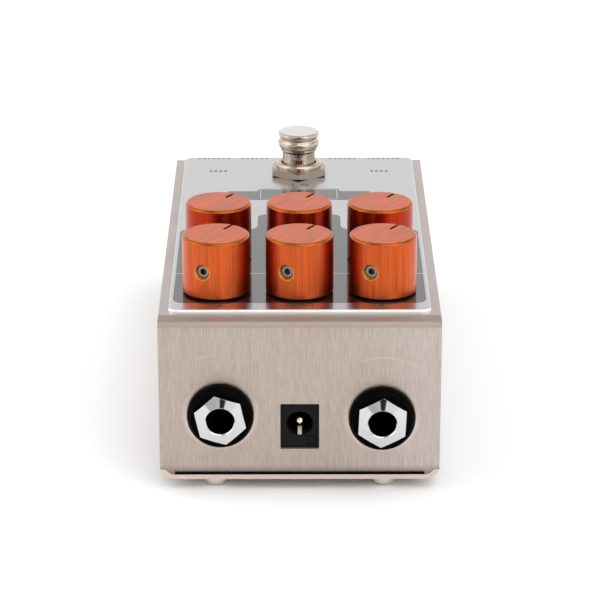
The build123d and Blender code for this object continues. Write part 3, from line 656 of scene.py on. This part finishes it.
# -------- mouldings and inner parts
def moulding(name, colour, roughness, texture=0.004, shine=0.5):
    """Moulded plastic: slight mottle, fine texture and a little dust."""
    material, tree, shader = new_material(name, ior=1.5, specular_ior_level=shine)
    marks = marks_on(tree, 4 * MM, 0.5 * MM)
    fine = noise(tree, here(tree), 9000.0)
    edge = edge_on(tree, 0.08 * MM)
    mottle = mixed(tree, fine, shade(colour, 0.85), shade(colour, 1.15))
    dusty = mixed(tree, times(tree, marks["Specks"], 0.3), mottle, (0.25, 0.24, 0.23))
    tree.links.new(dusty, shader["Base Color"])
    rough = plus(tree, roughness, times(tree, marks["Smears"], 0.08))
    tree.links.new(rough, shader["Roughness"])
    tree.links.new(bump(tree, fine, texture * MM, edge["Normal"]), shader["Normal"])
    return material


def circuit_board():
    """Green solder mask with tracks showing through."""
    material, tree, shader = new_material("circuit board", coat_weight=0.3, coat_roughness=0.2)
    bricks = add(
        tree, "ShaderNodeTexBrick",
        {"Vector": here(tree), "Scale": 260.0, "Mortar Size": 0.03, "Color1": (0, 0, 0, 1),
         "Color2": (0.15, 0.15, 0.15, 1), "Mortar": (1, 1, 1, 1)},
    ).outputs["Color"]
    tracks = add(tree, "ShaderNodeRGBToBW", {"Color": bricks}).outputs[0]
    tree.links.new(
        mixed(tree, tracks, (0.012, 0.09, 0.035), (0.03, 0.20, 0.08)), shader["Base Color"],
    )
    tree.links.new(ramp(tree, tracks, 0, 1, 0.45, 0.30), shader["Roughness"])
    edge = edge_on(tree, 0.1 * MM)
    tree.links.new(bump(tree, tracks, 0.03 * MM, edge["Normal"]), shader["Normal"])
    return material


def ribbon_cable():
    """Grey ribbon: parallel conductors, one edge marked red."""
    material, tree, shader = new_material("ribbon cable")
    across = split(tree, here(tree))["X"]
    wave = sums(tree, "SINE", times(tree, across, 2 * pi / (1.27 * MM)))
    ridge = ramp(tree, wave, -1, 1)
    red_edge = sums(tree, "GREATER_THAN", across, 3.9 * MM)
    grey = mixed(tree, ridge, (0.22, 0.22, 0.23), (0.42, 0.42, 0.43))
    tree.links.new(mixed(tree, red_edge, grey, (0.5, 0.03, 0.02)), shader["Base Color"])
    tree.links.new(ramp(tree, ridge, 0, 1, 0.55, 0.42), shader["Roughness"])
    tree.links.new(bump(tree, ridge, 0.15 * MM, facing(tree)), shader["Normal"])
    return material


def lamp_lens():
    """Diffusing red lens."""
    material, tree, shader = new_material(
        "lamp lens", transmission_weight=0.35, ior=1.5, coat_weight=0.4, coat_roughness=0.05,
    )
    cloud = noise(tree, here(tree), 2500.0, 3.0)
    tree.links.new(mixed(tree, cloud, (0.55, 0.02, 0.015), (0.75, 0.05, 0.03)), shader["Base Color"])
    tree.links.new(ramp(tree, cloud, 0, 1, 0.20, 0.34), shader["Roughness"])
    return material


# -------- shapes
def put(name, data):
    """Put a mesh, curve, light or camera in the scene."""
    made = bpy.data.objects.new(name, data)
    bpy.context.scene.collection.objects.link(made)
    return made


def show(name, mesh, material, body):
    """Put a new piece in the scene, on its CAD body and with its finish."""
    piece = put(name, mesh)
    mesh.materials.clear()
    mesh.materials.append(material)
    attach(piece, body)
    return piece


def give(material, *nodes):
    """Give packed nodes a finish."""
    for node in nodes:
        piece = frame["nodes"][node]
        piece.data.materials.clear()
        piece.data.materials.append(material)


def arc(centre, radius, start, end, steps):
    """Points along an arc, from angle start to angle end."""
    angles = [start + (end - start) * i / steps for i in range(steps + 1)]
    return [(centre[0] + radius * cos(a), centre[1] + radius * sin(a)) for a in angles]


def circle(centre, radius, steps=64):
    """Closed outline of a circle."""
    return arc(centre, radius, 0, 2 * pi, steps)[:-1]


def rounded(corners, radii, steps=8):
    """Closed outline whose corners, in anticlockwise order, are rounded by these radii."""
    outline = []
    for i, (corner, radius) in enumerate(zip(corners, radii)):
        here_at = Vector(corner)
        back = (Vector(corners[i - 1]) - here_at).normalized()
        ahead = (Vector(corners[(i + 1) % len(corners)]) - here_at).normalized()
        half = back.angle(ahead) / 2
        middle = here_at + (back + ahead).normalized() * (radius / sin(half))
        reach = radius * cos(half) / sin(half)
        first = here_at + back * reach - middle
        last = here_at + ahead * reach - middle
        start = atan2(first.y, first.x)
        sweep = (atan2(last.y, last.x) - start + pi) % (2 * pi) - pi
        outline += arc(middle, radius, start, start + sweep, steps)
    return outline


def flat_piece(name, outlines, thickness, place):
    """Mesh of a flat piece cut from closed outlines, standing on a place's local z = 0."""
    curve = bpy.data.curves.new(name, "CURVE")
    curve.dimensions = "2D"
    curve.fill_mode = "BOTH"
    curve.extrude = thickness / 2
    for outline in outlines:
        spline = curve.splines.new("POLY")
        spline.points.add(len(outline) - 1)
        for point, (x, y) in zip(spline.points, outline):
            point.co = (x, y, 0, 1)
        spline.use_cyclic_u = True
    return curve_mesh(name, curve, place @ Matrix.Translation((0, 0, thickness / 2)))


def coil(name, radius, wire, low, high, turns, place):
    """Mesh of a coil spring about a place's local z."""
    curve = bpy.data.curves.new(name, "CURVE")
    curve.dimensions = "3D"
    curve.bevel_depth = wire / 2
    curve.bevel_resolution = 3
    curve.use_fill_caps = True
    spline = curve.splines.new("POLY")
    steps = 32 * turns
    spline.points.add(steps)
    for i, point in enumerate(spline.points):
        angle = 2 * pi * turns * i / steps
        height = low + (high - low) * i / steps
        point.co = (radius * cos(angle), radius * sin(angle), height, 1)
    return curve_mesh(name, curve, place)


def curve_mesh(name, curve, place):
    """Mesh of a curve, standing on a place."""
    holder = put(name, curve)
    bpy.context.view_layer.update()
    graph = bpy.context.evaluated_depsgraph_get()
    mesh = bpy.data.meshes.new_from_object(holder.evaluated_get(graph))
    bpy.data.objects.remove(holder)
    bpy.data.curves.remove(curve)
    mesh.name = name
    mesh.transform(place)
    return mesh


def moved(outline, x, y):
    """The same outline somewhere else."""
    return [(px + x, py + y) for px, py in outline]


def bar(half_width, half_depth, x, y):
    """Closed outline of a rectangle about a point."""
    w, d = half_width, half_depth
    return moved([(-w, -d), (w, -d), (w, d), (-w, d)], x, y)


def ring_mark(x, y, outer, inner):
    """Closed outlines of a ring's two edges."""
    return [circle((x, y), outer, 32), circle((x, y), inner, 32)]


def dark_marks(place, look):
    """Outlines of plain symbols: signal arrows, DC polarity, on, and ticks at the far edge."""
    marks = []
    rim = look.symbol_place
    arrow = [(-0.9 * MM, 0.7 * MM), (0, -0.7 * MM), (0.9 * MM, 0.7 * MM)]
    for side, turn in (("left", -1), ("right", 1)):
        x = box_centre(f"jack_nut_{side}").x
        marks.append(moved([(px, turn * py) for px, py in arrow], x, rim))
    for x in (-2.4 * MM, 0, 2.4 * MM):
        marks += ring_mark(x, rim, 0.80 * MM, 0.55 * MM)
    marks.append(circle((0, rim), 0.3 * MM, 20))
    for x in (-1.2 * MM, 1.2 * MM):
        marks.append(bar(0.42 * MM, 0.12 * MM, x, rim))
    switch = place.inverted() @ box_centre("footswitch_nut")
    on = switch.y - 11.3 * MM
    marks += ring_mark(1.6 * MM, on, 1.0 * MM, 0.65 * MM)
    marks.append(bar(0.18 * MM, 1.0 * MM, -1.6 * MM, on))
    for i in (*range(6), *range(8, 15)):
        for side in (-1, 1):
            x = side * (8.6 + TICK_PITCH * i) * MM
            marks.append(bar(0.3 * MM, 0.3 * MM, x, switch.y + 12.4 * MM))
    for i in range(4):
        for side in (-1, 1):
            x = side * (19.5 + TICK_PITCH * i) * MM
            marks.append(bar(0.35 * MM, 0.5 * MM, x, switch.y + 1.0 * MM))
    return marks


# -------- operators
class PEDAL_OT_shared_effects(bpy.types.Operator):
    """Build the grain, marks, edge and turned-place node groups"""

    bl_idname = "pedal.shared_effects"
    bl_label = "Shared effects"

    def execute(self, context):
        make_brushed_grain()
        make_handling_marks()
        make_softened_edge()
        make_turned_place()
        return {"FINISHED"}


class PEDAL_OT_case(bpy.types.Operator):
    """Brushed steel cover and base tray on bright dome-head screws"""

    bl_idname = "pedal.case"
    bl_label = "Case"

    def execute(self, context):
        strokes = 1 / context.scene.pedal_case.grain
        cover = (strokes, 0.05 * strokes, 0.05 * strokes)
        sheet_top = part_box("base_tray")[0].z + SHEET
        give(brushed_steel("brushed steel cover", cover, lower_edge=sheet_top), "top_cover")
        base = (strokes, 0.05 * strokes, strokes)
        give(brushed_steel("brushed steel base", base, end_highlight=1.4), "base_tray")
        metals = context.scene.pedal_metals
        give(plated_metal("dome screws", metals.screws, 0.12), "base_screws")
        give(plated_metal("zinc plate", metals.plated_steel, 0.34), "clinch_nuts")
        return {"FINISHED"}


class PEDAL_OT_faceplate(bpy.types.Operator):
    """Satin faceplate with its glossy black panel, pale line and plain marks"""

    bl_idname = "pedal.faceplate"
    bl_label = "Faceplate"

    def execute(self, context):
        look = context.scene.pedal_print
        give(satin_plate(), "faceplate")
        place = plate_place(0, knob_centre("rear_middle").y)
        w, tab, near = look.half_width, look.tab_half_width, -look.near_margin
        side, end = look.side_end, look.tab_end
        corners = [(-w, near), (w, near), (w, side), (tab, side),
                   (tab, end), (-tab, end), (-tab, side), (-w, side)]
        centres = [place.inverted() @ knob_centre(knob) for knob in KNOBS]
        holes = [circle(centre.xy, 4.2 * MM) for centre in centres]
        holes.append(circle((place.inverted() @ box_centre("led_bezel")).xy, 4.3 * MM))
        black = print_ink("gloss black print", (0.006, 0.006, 0.007), 0.06)
        outline = rounded(corners, [look.corner] * 8)
        panel = flat_piece("printed_panel", [outline, *holes], look.lacquer, place)
        show("printed_panel", panel, black, "chassis")

        tail = look.banner_half_width + look.banner_tail
        middle, half = look.banner_half_width, look.banner_half_depth
        step = half - BANNER_STEP
        corners = [(-tail, -half), (tail, -half), (tail, step), (middle, step),
                   (middle, half), (-middle, half), (-middle, step), (-tail, step)]
        banner = moved(rounded(corners, [BANNER_CORNER] * 8), 0, look.banner_place)
        mesh = flat_piece("printed_banner", [banner], look.lacquer, place)
        show("printed_banner", mesh, black, "chassis")

        dark = print_ink("dark print", (0.05, 0.05, 0.055), 0.35, 0.0, 0.3)
        mesh = flat_piece("printed_dark_marks", dark_marks(place, look), look.lacquer, place)
        show("printed_dark_marks", mesh, dark, "chassis")

        white = print_ink("white print", (0.62, 0.62, 0.62), 0.25)
        raised = place @ Matrix.Translation((0, 0, look.lacquer))
        marks = [
            bar(middle - inset, half - inset, 0, look.banner_place)
            for inset in (BANNER_FRAME, BANNER_FRAME + 0.12 * MM)
        ]
        marks.append(bar(w, look.line_width / 2, 0, look.line_place))
        for centre in centres:
            for side in (-1, 1):
                angle = pi / 2 + side * context.scene.pedal_knobs.pointer_angle
                dot = centre.xy + STOP_DOTS * Vector((cos(angle), sin(angle)))
                marks.append(circle(dot, 0.35 * MM, 20))
        mesh = flat_piece("printed_white_marks", marks, look.lacquer / 2, raised)
        show("printed_white_marks", mesh, white, "chassis")
        return {"FINISHED"}


class PEDAL_OT_knobs(bpy.types.Operator):
    """Orange anodised knobs with painted pointers, set screws and shafts"""

    bl_idname = "pedal.knobs"
    bl_label = "Knobs"

    def execute(self, context):
        look = context.scene.pedal_knobs
        metals = context.scene.pedal_metals
        paint = print_ink("pointer paint", (0.006, 0.004, 0.004), 0.6, 0.0, 0.1)
        screw = plated_metal("set screw steel", metals.shaded_grub_steel, 0.25)
        shaft = plated_metal("turned shaft", metals.plated_steel, 0.30)
        pot = moulding("potentiometer moulding", (0.012, 0.05, 0.03), 0.45)
        zinc = plated_metal("zinc washers", metals.plated_steel, 0.34)
        give(zinc, "pot_washers", "pot_nuts")
        for knob in KNOBS:
            give(orange_anodised(knob), f"knob_{knob}")
            give(screw, f"set_screw_{knob}")
            give(shaft, f"pot_shaft_{knob}")
            give(pot, f"pot_body_{knob}")
            centre = knob_centre(knob)
            rise = knob_rise(knob)
            turned = Matrix.Rotation(-look.pointer_angle, 4, "Z")
            floor = Matrix.Translation((0, 0, rise - look.pointer_depth))
            half = look.pointer_width / 2 - PAINT_GAP
            start = look.pointer_start + PAINT_GAP
            outline = [(-half, start), (half, start), (half, POINTER_END), (-half, POINTER_END)]
            place = plate_place(centre.x, centre.y) @ turned @ floor
            mesh = flat_piece(f"pointer_paint_{knob}", [outline], 0.10 * MM, place)
            show(f"pointer_paint_{knob}", mesh, paint, f"knob_{knob}")
        return {"FINISHED"}


class PEDAL_OT_foot_switch(bpy.types.Operator):
    """Nickelled foot switch with its blue body, spring and lugs"""

    bl_idname = "pedal.foot_switch"
    bl_label = "Foot switch"

    def execute(self, context):
        metals = context.scene.pedal_metals
        centre = box_centre("footswitch_nut")
        lean = plate_slope()
        nickel = plated_metal("bright nickel", metals.nickel, 0.07, centre, lean)
        give(nickel, "footswitch_bushing")
        give(plated_metal("dull nickel", metals.dull_nickel, 0.16, centre, lean), "footswitch_nut")
        # the button's up-facing faces are painted lighter: a painted highlight
        highlighted = plated_metal("worn nickel", metals.nickel, 0.07, centre, lean, 0.3, metals.highlighted_nickel)
        give(highlighted, "footswitch_button")
        give(plated_metal("zinc lock nut", metals.plated_steel, 0.34), "footswitch_lock_nut")
        add_springs(plated_metal("spring steel", metals.plated_steel, 0.25))
        give(moulding("blue switch body", (0.02, 0.09, 0.34), 0.35), "footswitch_body")
        give(plated_metal("tinned lugs", metals.chrome, 0.3), "footswitch_lugs")
        return {"FINISHED"}


def add_springs(steel):
    """Nested return springs: the outer stands in the body, the inner goes with the button."""
    give(steel, "footswitch_spring")
    tilt = Matrix.Rotation(-plate_slope(), 4, "X")
    place = Matrix.Translation(box_centre("footswitch_spring")) @ tilt
    heights = [
        (place.inverted() @ vertex.co).z
        for vertex in frame["nodes"]["footswitch_spring"].data.vertices
    ]
    wire, overlap = 0.6 * MM, 0.6 * MM
    low, high = min(heights) + wire / 2, max(heights) - wire / 2
    outer = coil("return_spring_outer", 3.6 * MM, wire, low, overlap, 3, place)
    inner = coil("return_spring_inner", 2.85 * MM, wire, -overlap, high, 3, place)
    spring = show("return_spring_outer", outer, steel, "chassis")
    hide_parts("footswitch_spring")
    show("return_spring_inner", inner, steel, "footswitch")


class PEDAL_OT_lamp(bpy.types.Operator):
    """Status lamp in its bezel"""

    bl_idname = "pedal.lamp"
    bl_label = "Lamp"

    def execute(self, context):
        metals = context.scene.pedal_metals
        centre = box_centre("led_bezel")
        give(plated_metal("nickel bezel", metals.nickel, 0.1, centre, plate_slope()), "led_bezel")
        give(lamp_lens(), "status_led")
        return {"FINISHED"}


class PEDAL_OT_jacks(bpy.types.Operator):
    """Chromed hexagon nuts in glossy black collars, with the jack bodies behind"""

    bl_idname = "pedal.jacks"
    bl_label = "Jack sockets"

    def execute(self, context):
        metals = context.scene.pedal_metals
        chrome = plated_metal("polished chrome", metals.chrome, 0.03, turned=0.1)
        collar = moulding("glossy black collar", (0.0022, 0.002, 0.0018), 0.22, 0.001, 0.012)
        body = moulding("black jack body", (0.012, 0.012, 0.012), 0.4)
        contact = plated_metal("sprung contact", (0.72, 0.60, 0.42), 0.25)
        finishes = {"nut": chrome, "collar": collar, "body": body, "contact": contact}
        for part, finish in finishes.items():
            give(finish, f"jack_{part}_left", f"jack_{part}_right")
        return {"FINISHED"}


class PEDAL_OT_dc_socket(bpy.types.Operator):
    """Black DC socket with its pin and contact"""

    bl_idname = "pedal.dc_socket"
    bl_label = "DC socket"

    def execute(self, context):
        give(moulding("socket moulding", (0.008, 0.007, 0.008), 0.4, 0.006, 0.09), "dc_socket_body")
        give(plated_metal("socket pin", (0.85, 0.76, 0.62), 0.12), "dc_socket_pin")
        give(plated_metal("socket contact", (0.36, 0.31, 0.25), 0.2), "dc_socket_contact")
        return {"FINISHED"}


class PEDAL_OT_electronics(bpy.types.Operator):
    """Circuit boards, their larger parts and the ribbon cables"""

    bl_idname = "pedal.electronics"
    bl_label = "Electronics"

    def execute(self, context):
        give(circuit_board(), "main_board", "jack_board")
        give(ribbon_cable(), "board_ribbon", "switch_ribbon")
        give(moulding("capacitor sleeve", (0.02, 0.02, 0.06), 0.3), "electrolytic_capacitors")
        give(moulding("film capacitor box", (0.42, 0.03, 0.015), 0.3), "film_capacitors")
        give(moulding("chip package", (0.016, 0.016, 0.016), 0.55, 0.01), "amplifier_chips")
        spacer = plated_metal("plated spacer", bpy.context.scene.pedal_metals.plated_steel, 0.3)
        give(spacer, "jack_board_spacers")
        return {"FINISHED"}


class PEDAL_OT_stage(bpy.types.Operator):
    """Pale floor, white surround, soft boxes and camera"""

    bl_idname = "pedal.stage"
    bl_label = "Stage"

    def execute(self, context):
        studio = context.scene.pedal_studio
        context.scene.view_settings.view_transform = "Standard"
        make_floor(studio.floor_size)
        make_surround(studio)
        soft_light("top light", (0, 0, 1.4), (0, 0, 0), 1.6, studio.top_light)
        make_camera(studio)
        return {"FINISHED"}


def make_floor(size):
    """Large round floor of matt white board."""
    mesh = flat_piece("floor", [circle((0, 0), size, 96)], 0.01, Matrix.Translation((0, 0, -0.01)))
    material, tree, shader = new_material("white floor", specular_ior_level=0.0)
    cloud = noise(tree, here(tree), 30.0)
    tree.links.new(mixed(tree, cloud, (0.95, 0.955, 0.96), (0.96, 0.965, 0.97)), shader["Base Color"])
    shader["Roughness"].default_value = 1.0
    mesh.materials.clear()
    mesh.materials.append(material)
    put("floor", mesh)


def camera_back(studio):
    """Unit vector from the aim point to the camera."""
    turn, up = studio.turn, studio.elevation
    return Vector((-sin(turn) * cos(up), -cos(turn) * cos(up), sin(up)))


def band(tree, value, low, high, soft):
    """1 between two bounds, fading to 0 over a soft edge at each."""
    rising = ramp(tree, value, low - soft, low + soft)
    return times(tree, rising, ramp(tree, value, high - soft, high + soft, 1, 0))


def make_surround(studio):
    """White studio: bright all round, dimmer overhead, two soft boxes and the dark camera."""
    world = bpy.data.worlds.new("white studio")
    bpy.context.scene.world = world
    world.use_nodes = True
    tree = world.node_tree
    direction = tree.nodes.new("ShaderNodeTexCoord").outputs["Generated"]
    x, y, z = split(tree, direction)
    level = ramp(tree, z, 0.42, 0.62, studio.backdrop, studio.ceiling, smooth=True)
    for brightness, left, right, near, far in SOFT_BOXES:
        box = times(tree, band(tree, x, left, right, 0.03), band(tree, y, near, far, 0.03))
        level = blend(tree, times(tree, box, ramp(tree, z, 0.0, 0.1)), level, brightness)
    # under the camera stand a dark figure and a tripod, with a dimmer wall to their left
    turn = sums(tree, "ARCTAN2", x, times(tree, y, -1.0))
    low = band(tree, z, 0.0, 0.34, 0.02)
    for left, right, brightness, soft in ((-60, 0, 0.62, 9), (-2, 7, 0.03, 1)):
        across = band(tree, turn, radians(left), radians(right), radians(soft))
        level = blend(tree, times(tree, across, low), level, brightness)
    to_camera = vectors(tree, "DOT_PRODUCT", direction, camera_back(studio))
    dark = ramp(tree, to_camera, cos(radians(8)), cos(radians(5)))
    level = blend(tree, dark, level, 0.03)
    colour = add(tree, "ShaderNodeCombineXYZ", {"X": level, "Y": level, "Z": level}).outputs[0]
    background = tree.nodes["Background"]
    tree.links.new(colour, background.inputs["Color"])
    background.inputs["Strength"].default_value = 1.0


def soft_light(name, place, target, size, power):
    """Large area light that faces a point and doesn't mirror in the metal."""
    light = bpy.data.lights.new(name, "AREA")
    light.shape = "SQUARE"
    light.size = size
    light.energy = power
    lamp = put(name, light)
    lamp.location = place
    lamp.rotation_euler = (Vector(target) - Vector(place)).to_track_quat("-Z", "Y").to_euler()
    lamp.visible_glossy = False


def make_camera(studio):
    """Long lens, looking down on the sockets."""
    camera = bpy.data.cameras.new("camera")
    camera.lens = studio.lens
    camera.sensor_width = 36.0
    camera.clip_start, camera.clip_end = 0.01, 50.0
    low, high = cad_box
    middle_y = (low.y + high.y) / 2
    aim = Vector((0.226 * MM, middle_y + 2.25 * MM, 21.54 * MM))   # near the middle of the case
    back = camera_back(studio)
    holder = put("camera", camera)
    holder.location = aim + back * studio.distance
    holder.rotation_euler = (-back).to_track_quat("-Z", "Y").to_euler()
    bpy.context.scene.camera = holder


OPERATORS = (
    PEDAL_OT_shared_effects,
    PEDAL_OT_case,
    PEDAL_OT_faceplate,
    PEDAL_OT_knobs,
    PEDAL_OT_foot_switch,
    PEDAL_OT_lamp,
    PEDAL_OT_jacks,
    PEDAL_OT_dc_socket,
    PEDAL_OT_electronics,
    PEDAL_OT_stage,
)


class PEDAL_PT_finisher(bpy.types.Panel):
    """Lists the pedal's pieces and their settings"""

    bl_label = "Effects pedal"
    bl_idname = "PEDAL_PT_finisher"
    bl_space_type = "VIEW_3D"
    bl_region_type = "UI"
    bl_category = "Pedal"

    def draw(self, context):
        for operator in OPERATORS:
            self.layout.operator(operator.bl_idname)
        for name, group in SETTINGS.items():
            box = self.layout.box()
            box.label(text=group.__doc__)
            for setting in group.__annotations__:
                box.prop(getattr(context.scene, name), setting)


def register():
    for name, group in SETTINGS.items():
        bpy.utils.register_class(group)
        setattr(bpy.types.Scene, name, PointerProperty(type=group))
    for operator in OPERATORS:
        bpy.utils.register_class(operator)
    bpy.utils.register_class(PEDAL_PT_finisher)


def unregister():
    bpy.utils.unregister_class(PEDAL_PT_finisher)
    for operator in reversed(OPERATORS):
        bpy.utils.unregister_class(operator)
    for name, group in reversed(SETTINGS.items()):
        delattr(bpy.types.Scene, name)
        bpy.utils.unregister_class(group)


def main():
    """Finish the pedal, piece by piece."""
    register()
    for operator in OPERATORS:
        family, action = operator.bl_idname.split(".")
        getattr(getattr(bpy.ops, family), action)()


if __name__ == "__main__":
    main()
